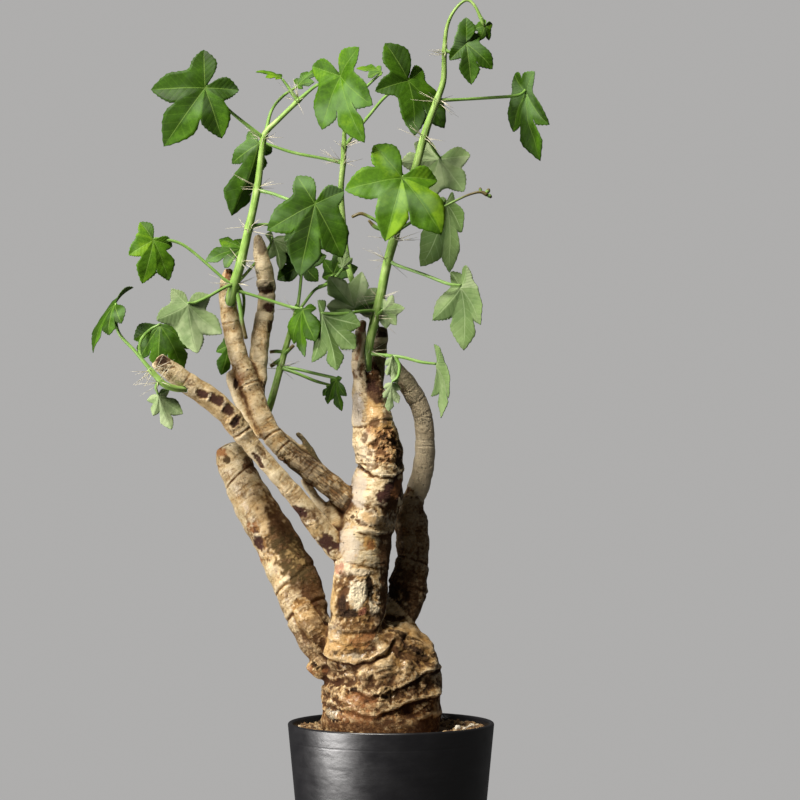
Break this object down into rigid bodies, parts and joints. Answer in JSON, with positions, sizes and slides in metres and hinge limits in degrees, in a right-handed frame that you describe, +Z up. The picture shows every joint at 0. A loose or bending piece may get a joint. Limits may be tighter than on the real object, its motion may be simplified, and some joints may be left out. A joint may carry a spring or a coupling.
{
  "type": "potted jatropha plant",
  "caption": "Swollen woody caudex with thick knobbly limbs and thin green shoots of five-lobed leaves, in gravelly soil in a plain round tapered pot.",
  "frame": {"origin": "centre of the pot's flat underside, on the surface that the pot stands on", "axes": "+Z up the pot's axis; -Y towards the viewer of the front, with +X to the viewer's right"},
  "size_m": [0.2732, 0.1238, 0.549],
  "materials": {
    "pot": "matte",
    "soil": "rough",
    "bark": "rough",
    "leaf": "satin"
  },
  "bodies": {
    "root": {"pot": "pot", "soil": "soil", "caudex": "bark", "shoot_left": "leaf", "shoot_mid": "leaf", "shoot_tall": "leaf", "shoot_back": "leaf", "shoot_low": "leaf"}
  },
  "joints": []
}
